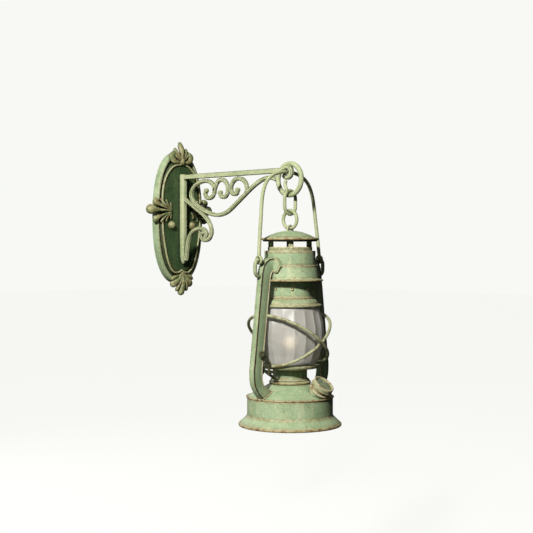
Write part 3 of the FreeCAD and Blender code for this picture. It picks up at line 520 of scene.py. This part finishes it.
# The bead's height from the wall, its full radius, and the (y, z) courses of its two half rings.
BEAD_HIGH = 13.2
BEAD_RADIUS = 1.5
UPPER_BEAD = [
    (-20.0, 11.6), (-24.0, 11.2), (-30.0, 13.4), (-35.2, 17.6), (-37.6, 24.0), (-37.4, 36.0), (-34.6, 50.0),
    (-28.0, 64.5), (-16.0, 76.5), (0.0, 80.8),
]
LOWER_BEAD = [
    (-20.0, 7.6), (-28.0, 5.4), (-34.8, 1.6), (-37.2, -4.0), (-37.4, -14.0), (-36.0, -27.0), (-33.4, -41.0),
    (-30.0, -56.0), (-25.4, -69.0), (-20.0, -78.0), (-13.0, -82.6), (-6.6, -82.4), (-2.4, -80.8),
    (0.4, -78.8),
]


def build_bead():
    """The raised bead: two half rings that pinch in at the sides and meet in a cusp at the foot."""
    parts = []
    for course in (UPPER_BEAD, LOWER_BEAD):
        for side in (-1, 1):
            corners = [(BEAD_HIGH, y * -side, z) for y, z in course]
            path = smooth_path(corners, 7)
            radii = [min(BEAD_RADIUS, 0.6 + 0.1 * index) for index in range(len(path))]
            parts.append(rod(path, radii, sides=12, round_end=False))
    points, faces = joined(parts)
    make_piece("plate_bead", points, faces, BEAD, "bracket")


# ---------------------------------------------------------------- cast sprays
# Each rib: (across, along, height from the wall, radius) from its root to its rounded tip.
# "along" runs out from the plate's middle; a rib marked 2 has a twin across the spray's middle.
SIDE_RIBS = [
    (1, [(0.3, 21, 15.0, 0.9), (0.6, 34, 15.8, 1.5), (1.0, 46, 14.0, 2.8),
         (1.6, 54, 10.8, 6.8), (1.8, 58, 9.6, 7.4)]),
    (2, [(1.8, 24, 15.0, 0.8), (5.0, 35, 16.0, 1.3), (8.6, 44, 14.6, 2.4),
         (12.4, 49.6, 11.8, 5.2), (14.6, 48.6, 10.8, 4.6)]),
    (2, [(2.0, 21, 15.0, 0.7), (6.0, 30, 16.0, 1.1), (11.2, 37, 15.2, 1.7), (16.0, 40.0, 13.2, 2.2)]),
    (2, [(2.6, 21, 14.8, 0.6), (6.6, 27, 15.6, 1.0), (11.0, 30.4, 15.2, 1.4), (15.0, 31.4, 14.2, 1.7)]),
    (2, [(3.2, 20, 14.0, 0.5), (6.4, 22.0, 14.6, 0.8), (9.0, 22.8, 14.6, 1.1), (11.0, 22.4, 13.8, 1.3)]),
]
TOP_RIBS = [
    (1, [(0, 84, 13.4, 1.6), (0, 94, 14.4, 3.2), (0, 102, 12.8, 4.6),
         (0, 107.8, 10.2, 4.7), (0, 111.2, 8.8, 3.6)]),
    (2, [(1.8, 85, 13.2, 1.1), (5.2, 92, 13.8, 2.2), (8.8, 98, 12.4, 3.0), (10.8, 102.8, 10.2, 2.8)]),
    (2, [(2.8, 85, 12.8, 1.0), (8.0, 90, 13.4, 1.8), (12.0, 94.0, 12.8, 2.4), (14.6, 98.4, 10.8, 2.6)]),
    (2, [(3.0, 83, 13.4, 1.4), (9.0, 83.4, 14.2, 2.6), (15.6, 85.6, 13.2, 4.2),
         (19.0, 91.4, 11.6, 5.2), (16.6, 95.2, 11.8, 4.2)]),
    (2, [(1.0, 86.5, 15.4, 2.2), (2.8, 83.0, 15.4, 2.0), (3.4, 79.6, 14.6, 1.2)]),
    (1, [(0, 88.6, 16.0, 2.2), (0, 84.6, 16.4, 3.0), (0, 82.4, 16.0, 2.6)]),
]
BOTTOM_RIBS = [
    (1, [(0, 82, 13.4, 1.4), (0, 95, 14.4, 3.2), (0, 105, 12.6, 4.8), (0, 112.0, 9.6, 5.8)]),
    (2, [(1.8, 83, 13.0, 1.3), (6.6, 91, 14.2, 2.8), (12.4, 96.6, 13.0, 4.8), (16.0, 99.6, 10.6, 5.8)]),
    (2, [(1.2, 84, 13.4, 1.1), (4.6, 95, 14.6, 2.2), (8.0, 103, 13.0, 2.9), (9.6, 108.4, 10.6, 2.9)]),
    (2, [(3.0, 86, 12.8, 1.0), (9.6, 88.0, 13.4, 2.0), (15.6, 89.6, 12.8, 2.9), (19.4, 92.0, 11.8, 2.9)]),
]


def spray(name, ribs, middle, direction, node):
    """A spray of cast ribs round middle (y, z); direction turns (across, along) into (y, z)."""
    parts = []
    for twins, course in ribs:
        for side in ((1, -1) if twins == 2 else (1,)):
            corners = []
            for across, along, high, radius in course:
                y, z = direction(side * across, along)
                corners.append((high, y + middle[0], z + middle[1], radius))
            stations = smooth_path(corners, 6)
            path = [Vector(s[:3]) for s in stations]
            parts.append(rod(path, [s[3] for s in stations], flat=0.85))
    points, faces = joined(parts)
    make_piece(name, points, faces, LEAF, "bracket", [node])


def build_sprays():
    """The four cast sprays at the top, foot and sides of the plate."""
    spray("top_spray", TOP_RIBS, (0.6, 0), lambda across, along: (across, along), "top_leaf")
    spray("bottom_spray", BOTTOM_RIBS, (2.0, 0), lambda across, along: (across, -along), "bottom_leaf")
    spray("left_spray", SIDE_RIBS, (0, 10.0), lambda across, along: (-along, across), "left_leaf")
    spray("right_spray", SIDE_RIBS, (0, 10.0), lambda across, along: (along, across), "right_leaf")


# ---------------------------------------------------------------- lantern details
def build_globe():
    """The globe, whose eighteen flutes fade out near its plain rims."""
    flutes = 18
    depth = 1.5
    fade_over = 9.0
    outside = [(38.6, -124.5), (41.4, -132.5), (43.7, -141.0), (45.9, -150.0), (46.9, -159.0),
               (46.6, -170.0), (44.6, -181.0), (41.0, -193.0), (36.5, -204.5)]
    curve = smooth_path(outside, 5)
    wall = 1.7
    outline = [(p[0], p[1]) for p in curve] + [(p[0] - wall, p[1]) for p in reversed(curve)]
    top, bottom = -127.0, -202.0

    def ripple(angle, height):
        fade = min(1.0, max(0.0, (top - height) / fade_over), max(0.0, (height - bottom) / fade_over))
        return depth * fade * abs(math.sin(angle * flutes / 2)) ** 0.75

    points, faces = turned(outline, steps=288, ripple=ripple)
    make_piece("fluted_globe", points, faces, GLASS, "globe_carriage", ["globe"])


def build_edges():
    """Rolled and rubbed edges of the sheet metal, and a dark ring painted under the canopy as its shadow:
    radius, height, half width, half height, body, paint.
    """
    canopy = radius_of("canopy")
    drum = radius_of("crown_drum")
    skirt = radius_of("crown_skirt")
    bell = radius_of("globe_holder")
    plate = radius_of("globe_plate")
    foot = radius_of("fount_wall")
    courses = {
        "canopy_edge": (canopy - 0.3, low_of("canopy") + 1.2, 1.2, 1.5, "lantern", ROLLED),
        # Painted shadow: a near-black ring just under the canopy's rim.
        "canopy_shadow_line": (canopy - 2.2, low_of("canopy") - 0.6, 1.0, 1.5, "lantern", SHADOW_LINE),
        "drum_top_edge": (drum - 0.4, high_of("crown_drum") - 0.5, 0.55, 0.5, "lantern", SEAM),
        "drum_seam": (drum + 3.0, high_of("crown_skirt") - 0.5, 0.7, 0.75, "lantern", SEAM),
        "skirt_edge": (skirt - 0.6, low_of("crown_skirt") + 1.0, 1.3, 1.1, "lantern", ROLLED),
        "bell_shoulder": (31.2, low_of("neck") - 0.8, 0.9, 0.8, "globe_carriage", SEAM),
        "bell_edge": (bell - 0.5, low_of("globe_holder") + 1.6, 1.2, 1.5, "globe_carriage", WIRE),
        "globe_plate_edge": (plate - 0.4, high_of("globe_plate") - 2.6, 1.2, 1.8, "globe_carriage", WIRE),
        "burner_bead": (27.6, -230.2, 1.5, 1.5, "lantern", ROLLED),
        "burner_ring": (26.0, -226.6, 0.8, 0.8, "lantern", SEAM),
        "fount_seam": (59.5, -250.3, 1.0, 1.1, "lantern", ROLLED),
        "foot_edge": (foot - 0.7, low_of("fount_wall") + 2.0, 1.5, 2.0, "lantern", ROLLED),
    }
    for name, course in courses.items():
        edge_ring(name, *course)


# Stations of a side tube from the crown to the fount: outer corner, inner corner (out from the axis,
# height) and half its width.
TUBE_STATIONS = [
    ((38.4, -60.7), (35.4, -75.0), 8.4), ((41.0, -60.7), (37.4, -76.0), 6.6),
    ((46.0, -61.8), (41.2, -79.0), 5.2), ((51.6, -65.0), (43.2, -83.0), 4.9),
    ((56.0, -69.6), (44.2, -87.2), 4.9), ((58.8, -77.0), (45.0, -93.0), 4.9),
    ((60.9, -90.0), (46.6, -104.0), 4.9), ((67.8, -145.0), (52.2, -146.0), 4.9),
    ((74.6, -199.0), (58.7, -197.0), 4.9), ((75.8, -207.0), (59.9, -207.0), 4.9),
    ((76.0, -214.0), (60.2, -215.0), 4.9), ((75.4, -223.0), (59.4, -223.0), 4.9),
    ((73.4, -230.6), (56.8, -230.4), 4.9), ((67.4, -240.2), (49.6, -236.2), 4.9),
    ((58.8, -249.0), (40.4, -239.6), 4.9),
]
TUBE_CORNER = 1.1
# Which point of a tube's ring each folded seam follows.
OUTER_SEAM_POINT = 1
INNER_SEAM_POINT = 14


def tube_ring(side, outer, inner, half_wide):
    """A rounded rectangle across the tube at one station."""
    outer = Vector((0.0, side * outer[0], outer[1]))
    inner = Vector((0.0, side * inner[0], inner[1]))
    middle = (outer + inner) / 2
    half_deep = (outer - inner).length / 2
    across = (outer - inner).normalized()
    ring = []
    for sign_x, sign_out, first in ((1, 1, 0), (-1, 1, 90), (-1, -1, 180), (1, -1, 270)):
        for turn in (0, 30, 60, 90):
            angle = math.radians(first + turn)
            x = sign_x * (half_wide - TUBE_CORNER) + TUBE_CORNER * math.cos(angle)
            out = sign_out * (half_deep - TUBE_CORNER) + TUBE_CORNER * math.sin(angle)
            ring.append(middle + across * out + Vector((AXIS_X + x, 0.0, 0.0)))
    return ring


def build_tubes():
    """The side tubes: square below, flaring at the top into the collar on the crown."""
    for name, side in (("left", -1), ("right", 1)):
        flat = [(*outer, *inner, half) for outer, inner, half in TUBE_STATIONS]
        rings = []
        for outer_y, outer_z, inner_y, inner_z, half in smooth_path(flat, 5):
            rings.append(tube_ring(side, (outer_y, outer_z), (inner_y, inner_z), half))
        points, faces = lofted(rings)
        count = len(rings[0])
        faces.append(tuple(reversed(range(count))))
        faces.append(tuple((len(rings) - 1) * count + spot for spot in range(count)))
        make_piece(f"{name}_side_tube", points, faces, GREEN, "lantern", [f"{name}_tube"])
        # The outer seam is a real folded seam; its near-black paint is painted shadow along the corner.
        seams = [("outer", OUTER_SEAM_POINT, SHADOW_LINE, 0.75), ("inner", INNER_SEAM_POINT, SEAM, 0.85)]
        for place, point, material, thick in seams:
            path = [ring[point] for ring in rings]
            points, faces = rod(path, [thick] * len(path))
            make_piece(f"{name}_tube_{place}_seam", points, faces, material, "lantern")
        build_flange(f"{name}_tube_flange", side)


def build_flange(name, side):
    """The thin turned-out lip where a tube meets the fount's shoulder."""
    outer, inner, half = TUBE_STATIONS[-1]
    way = Vector((0.0, side * (outer[0] - inner[0]), outer[1] - inner[1])).normalized()
    rings = []
    lip, above, below = 1.7, 1.0, -0.4
    for grow, shift in ((0.0, above), (lip, above), (lip, below), (0.0, below)):
        ring = tube_ring(side, outer, inner, half + grow)
        middle = sum(ring, Vector()) / len(ring)
        lift = Vector((0.0, side * 0.45, 0.9)) * shift
        rings.append([p + lift + way * grow * (1 if (p - middle).dot(way) > 0 else -1) for p in ring])
    points, faces = lofted(rings, closed_along=True)
    make_piece(name, points, faces, SEAM, "lantern")


def build_lift_brace():
    """The stay under the globe plate, from the left tube to the burner."""
    corners = [(237, -60, -204), (237, -50, -213), (237, -38, -220), (237, -27, -228)]
    path = [Vector(p) for p in smooth_path(corners, 6)]
    points, faces = rod(path, [1.9] * len(path))
    make_piece("lift_brace", points, faces, SHADED, "lantern")


def build_filler_details():
    """The cap's rolled rim, skirt edge and disc, and the flange under its neck, about the leaning axis."""
    joint = next(j for j in frame["joints"] if j["name"] == "cap_turn")
    axis = Vector(joint["axis"]).normalized()
    base = Vector(joint["pos_m"]) / MM
    across = axis.cross(Vector((0, 1, 0))).normalized()
    beside = axis.cross(across).normalized()
    hoop_steps, bend_steps, disc_steps = 72, 12, 48

    def outward(step, steps):
        angle = 2 * math.pi * step / steps
        return across * math.cos(angle) + beside * math.sin(angle)

    hoops = [
        ("filler_rim", 13.6, 2.2, 1.3, "filler_cap", SEAM),
        ("filler_skirt_edge", 14.9, -3.4, 0.8, "filler_cap", ROLLED),
        ("filler_neck_flange", 13.6, -9.4, 1.5, "lantern", SEAM),
    ]
    for name, radius, high, thick, body, material in hoops:
        rings = []
        for step in range(hoop_steps):
            out = outward(step, hoop_steps)
            ring = []
            for turn in range(bend_steps):
                bend = 2 * math.pi * turn / bend_steps
                reach, rise = radius + thick * math.cos(bend), high + thick * math.sin(bend)
                ring.append(base + out * reach + axis * rise)
            rings.append(ring)
        points, faces = lofted(rings, closed_along=True)
        make_piece(name, points, faces, material, body)
    rings = []
    for radius, high in ((12.4, 0.95), (11.0, 1.2), (6.0, 1.25), (0.3, 1.3)):
        level = base + axis * high
        rings.append([level + outward(step, disc_steps) * radius for step in range(disc_steps)])
    points, faces = lofted(rings)
    faces.append(tuple((len(rings) - 1) * disc_steps + step for step in range(disc_steps)))
    make_piece("filler_disc", points, faces, DISC, "filler_cap")


def build_scroll_ends():
    """The rounded knobs that the scrolls end in, as (x, z, radius)."""
    half_wide = 2.9
    spots = {
        "brace_end": (68.0, 38.9, 3.3), "middle_end": (97.6, 34.8, 3.3), "right_end": (133.3, 37.4, 3.3),
        "lower_end": (62.8, -23.0, 3.2), "hook_end": (66.2, -30.4, 3.0),
    }
    for name, (x, z, radius) in spots.items():
        path = [Vector((x, y, z)) for y in (-half_wide, 0, half_wide)]
        radii = [radius] * len(path)
        points, faces = rod(path, radii, outward=Vector((0, 0, 1)), sides=24, round_end=False)
        piece = make_piece(f"scroll_{name}", points, faces, IRON, "bracket")
        soften(piece, 0.7)


SHARP_CORNER = 35.0


def soften(piece, width):
    """Rounds the corners of a piece with real geometry."""
    bevel = piece.modifiers.new("rounded", "BEVEL")
    bevel.width = width * MM
    bevel.segments = 4
    bevel.limit_method = "ANGLE"
    bevel.angle_limit = math.radians(SHARP_CORNER)


# How much fatter, in millimetres, layers of paint make the forged rods.
HAND_FORGED = {
    ("brace_scroll", "middle_curl", "right_curl", "lower_scroll", "hook_scroll"): 0.45,
    ("left_ear", "right_ear"): 0.45,
    ("arm_bar", "arm_curl"): 0.5,
    ("hanger_ring",): 0.25,
}


def fatten(piece, growth):
    """Pushes a piece's surface outwards."""
    paint = piece.modifiers.new("paint_layers", "DISPLACE")
    paint.strength = growth * MM
    paint.mid_level = 0.0


def build_post():
    """The upright bar with its edges hammered round and its foot drawn to a point."""
    low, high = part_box("post_bar")
    middle = Vector(((low.x + high.x) / 2, (low.y + high.y) / 2, 0)) / MM
    half_x, half_y = (high.x - low.x) / 2 / MM, (high.y - low.y) / 2 / MM
    courses = [(65.2, 0.86), (64.2, 1.0), (-54, 1.0), (-60, 0.92), (-64.4, 0.72), (-67.4, 0.5),
               (-69.4, 0.28), (-70.2, 0.08)]
    steps, squareness = 40, 0.55
    rings = []
    for height, share in courses:
        ring = []
        for step in range(steps):
            angle = 2 * math.pi * step / steps
            across = math.copysign(abs(math.sin(angle)) ** squareness, math.sin(angle))
            out = math.copysign(abs(math.cos(angle)) ** squareness, math.cos(angle))
            ring.append(middle + Vector((half_x * out * share, half_y * across * share, height)))
        rings.append(ring)
    points, faces = lofted(rings)
    faces.append(tuple(reversed(range(steps))))
    faces.append(tuple((len(rings) - 1) * steps + step for step in range(steps)))
    make_piece("hammered_post", points, faces, IRON, "bracket", ["post_bar"])


def build_cap_nuts():
    """Domed nuts with a washer skirt, in place of the plain CAD ones."""
    profile = [(6.0, FIELD_HIGH), (6.2, 13.4), (5.7, 14.2), (5.4, 15.2), (4.8, 17.0), (3.6, 18.4),
               (1.8, 19.2), (0.3, 19.4)]
    steps = 36
    parts = []
    for y, z in STUD_SPOTS:
        rings = [circle(high, y, z, radius, steps) for radius, high in profile]
        points, faces = lofted(rings)
        faces.append(tuple((len(rings) - 1) * steps + step for step in range(steps)))
        faces.append(tuple(reversed(range(steps))))
        parts.append((points, faces))
    points, faces = joined(parts)
    make_piece("domed_nuts", points, faces, LEAF, "bracket", ["cap_nuts"])


def build_knob():
    """The wick knob with a knurled rim."""
    low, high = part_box("wick_knob")
    middle = (low + high) / 2 / MM
    face, back = low.x / MM, high.x / MM
    radius = (high.z - low.z) / 2 / MM
    profile = [(0.2, back), (3.0, back), (3.2, face + 4.2), (radius - 0.9, face + 4.2),
               (radius, face + 3.4), (radius, face + 0.8), (radius - 0.9, face), (radius - 2.6, face),
               (radius - 3.2, face + 0.7), (0.2, face + 0.7)]
    teeth, steps_a_tooth, notch_deep = 30, 4, 0.45
    steps = teeth * steps_a_tooth
    rings = []
    for step in range(steps):
        angle = 2 * math.pi * step / steps
        notch = notch_deep if step % steps_a_tooth < 2 else 0.0
        ring = []
        for reach, x in profile:
            out = reach - (notch if reach == radius else 0.0)
            ring.append(Vector((x, middle.y + out * math.cos(angle), middle.z + out * math.sin(angle))))
        rings.append(ring)
    points, faces = lofted(rings, closed_along=True)
    make_piece("knurled_knob", points, faces, SHADED, "wick_drive", ["wick_knob"], smooth=False)


build_plate()
build_plate_back()
build_bead()
build_sprays()
build_globe()
build_edges()
build_tubes()
build_lift_brace()
build_filler_details()
build_scroll_ends()
build_cap_nuts()
build_knob()
build_post()

# How wide, in millimetres, the corners of the CAD nodes are rounded.
ROUNDED = {"arm_bar": 1.9, "left_tube_collar": 0.7, "right_tube_collar": 0.7}
for name, width in ROUNDED.items():
    soften(frame["nodes"][name], width)
for names, growth in HAND_FORGED.items():
    for name in names:
        fatten(frame["nodes"][name], growth)


# ---------------------------------------------------------------- floor, light and camera
IMAGE_WIDTH = 533
SENSOR_WIDTH = 36.0
# The focal length in pixels, the camera's heading and its dip below level in degrees, and its place.
FOCAL = 1100.0
AZIMUTH = 43.5
PITCH = 0.755
EYE = Vector((1.2527, -1.1194, -0.0518))
BACKDROP = colour(248, 249, 245)
FLOOR_BRIGHTNESS = 0.955
FLOOR_REACH = 12.0
FLOOR_HIGH = -0.62
LIT_MIDDLE = (0.15, 0.0, -0.08)
GLOW_HIGH = -0.176


def build_floor():
    """A plain pale floor well below the lantern."""
    made = Recipe("floor_paint")
    grain = made.noise(9.0, 2.0)
    made.shader.inputs["Emission Color"].default_value = BACKDROP
    made.shader.inputs["Emission Strength"].default_value = FLOOR_BRIGHTNESS
    material = made.finish(made.mix(grain, (0.11, 0.11, 0.108, 1.0), (0.13, 0.13, 0.128, 1.0)), 0.9)
    mesh = bpy.data.meshes.new("floor")
    reach, high = FLOOR_REACH, FLOOR_HIGH
    corners = [(-reach, -reach, high), (reach, -reach, high), (reach, reach, high), (-reach, reach, high)]
    mesh.from_pydata(corners, [], [(0, 1, 2, 3)])
    mesh.materials.append(material)
    floor = bpy.data.objects.new("floor", mesh)
    bpy.context.scene.collection.objects.link(floor)
    floor.visible_diffuse = False
    floor.visible_glossy = False


def area_light(name, place, size, power, tint):
    """A round lamp aimed at the middle of the lamp and bracket."""
    lamp = bpy.data.lights.new(name, "AREA")
    lamp.shape = "DISK"
    lamp.size = size
    lamp.energy = power
    lamp.color = tint
    holder = bpy.data.objects.new(name, lamp)
    holder.location = place
    holder.rotation_mode = "QUATERNION"
    holder.rotation_quaternion = (Vector(LIT_MIDDLE) - Vector(place)).to_track_quat("-Z", "Y")
    bpy.context.scene.collection.objects.link(holder)


def build_glow():
    """A faint warm light low in the globe."""
    lamp = bpy.data.lights.new("glow", "POINT")
    lamp.energy = 0.014
    lamp.color = (1.0, 0.84, 0.62)
    lamp.shadow_soft_size = 0.008
    holder = bpy.data.objects.new("glow", lamp)
    holder.location = (AXIS_X * MM, 0.0, GLOW_HIGH)
    bpy.context.scene.collection.objects.link(holder)


def build_world():
    """Dim light, stronger from above on the wall's side, and a pale backdrop that the glass shows too."""
    world = bpy.data.worlds.new("studio")
    bpy.context.scene.world = world
    world.use_nodes = True
    tree = world.node_tree
    tree.nodes.clear()
    path = tree.nodes.new("ShaderNodeLightPath")
    seen = tree.nodes.new("ShaderNodeMath")
    seen.operation = "MAXIMUM"
    tree.links.new(path.outputs["Is Camera Ray"], seen.inputs[0])
    tree.links.new(path.outputs["Is Transmission Ray"], seen.inputs[1])
    lit = tree.nodes.new("ShaderNodeBackground")
    lit.inputs["Color"].default_value = (0.95, 0.98, 1.0, 1.0)
    direction = tree.nodes.new("ShaderNodeTexCoord")
    brighter = tree.nodes.new("ShaderNodeVectorMath")
    brighter.operation = "DOT_PRODUCT"
    brighter.inputs[1].default_value = (-0.11, -0.05, 0.09)
    tree.links.new(direction.outputs["Generated"], brighter.inputs[0])
    strength = tree.nodes.new("ShaderNodeMath")
    strength.inputs[1].default_value = 0.06
    tree.links.new(brighter.outputs["Value"], strength.inputs[0])
    dimmest = tree.nodes.new("ShaderNodeMath")
    dimmest.operation = "MAXIMUM"
    dimmest.inputs[1].default_value = 0.02
    tree.links.new(strength.outputs[0], dimmest.inputs[0])
    tree.links.new(dimmest.outputs[0], lit.inputs["Strength"])
    backdrop = tree.nodes.new("ShaderNodeBackground")
    backdrop.inputs["Color"].default_value = BACKDROP
    both = tree.nodes.new("ShaderNodeMixShader")
    tree.links.new(seen.outputs[0], both.inputs[0])
    tree.links.new(lit.outputs[0], both.inputs[1])
    tree.links.new(backdrop.outputs[0], both.inputs[2])
    out = tree.nodes.new("ShaderNodeOutputWorld")
    tree.links.new(both.outputs[0], out.inputs["Surface"])


def build_camera():
    """The camera at the photograph's angle."""
    lens = bpy.data.cameras.new("camera")
    lens.sensor_width = SENSOR_WIDTH
    lens.lens = FOCAL / IMAGE_WIDTH * SENSOR_WIDTH
    camera = bpy.data.objects.new("camera", lens)
    camera.location = EYE
    camera.rotation_euler = (math.radians(90.0 - PITCH), 0.0, math.radians(AZIMUTH))
    bpy.context.scene.collection.objects.link(camera)
    bpy.context.scene.camera = camera


build_floor()
build_world()
area_light("key", (0.88, -1.48, 0.84), 0.2, 55.0, (1.0, 0.985, 0.955))
area_light("front", (1.5, -1.3, 0.3), 0.8, 0.6, (1.0, 0.98, 0.94))
area_light("back", (-1.5, 0.4, 0.5), 0.8, 9.0, (1.0, 0.99, 0.96))
build_glow()
build_camera()
bpy.context.scene.view_settings.view_transform = "Standard"
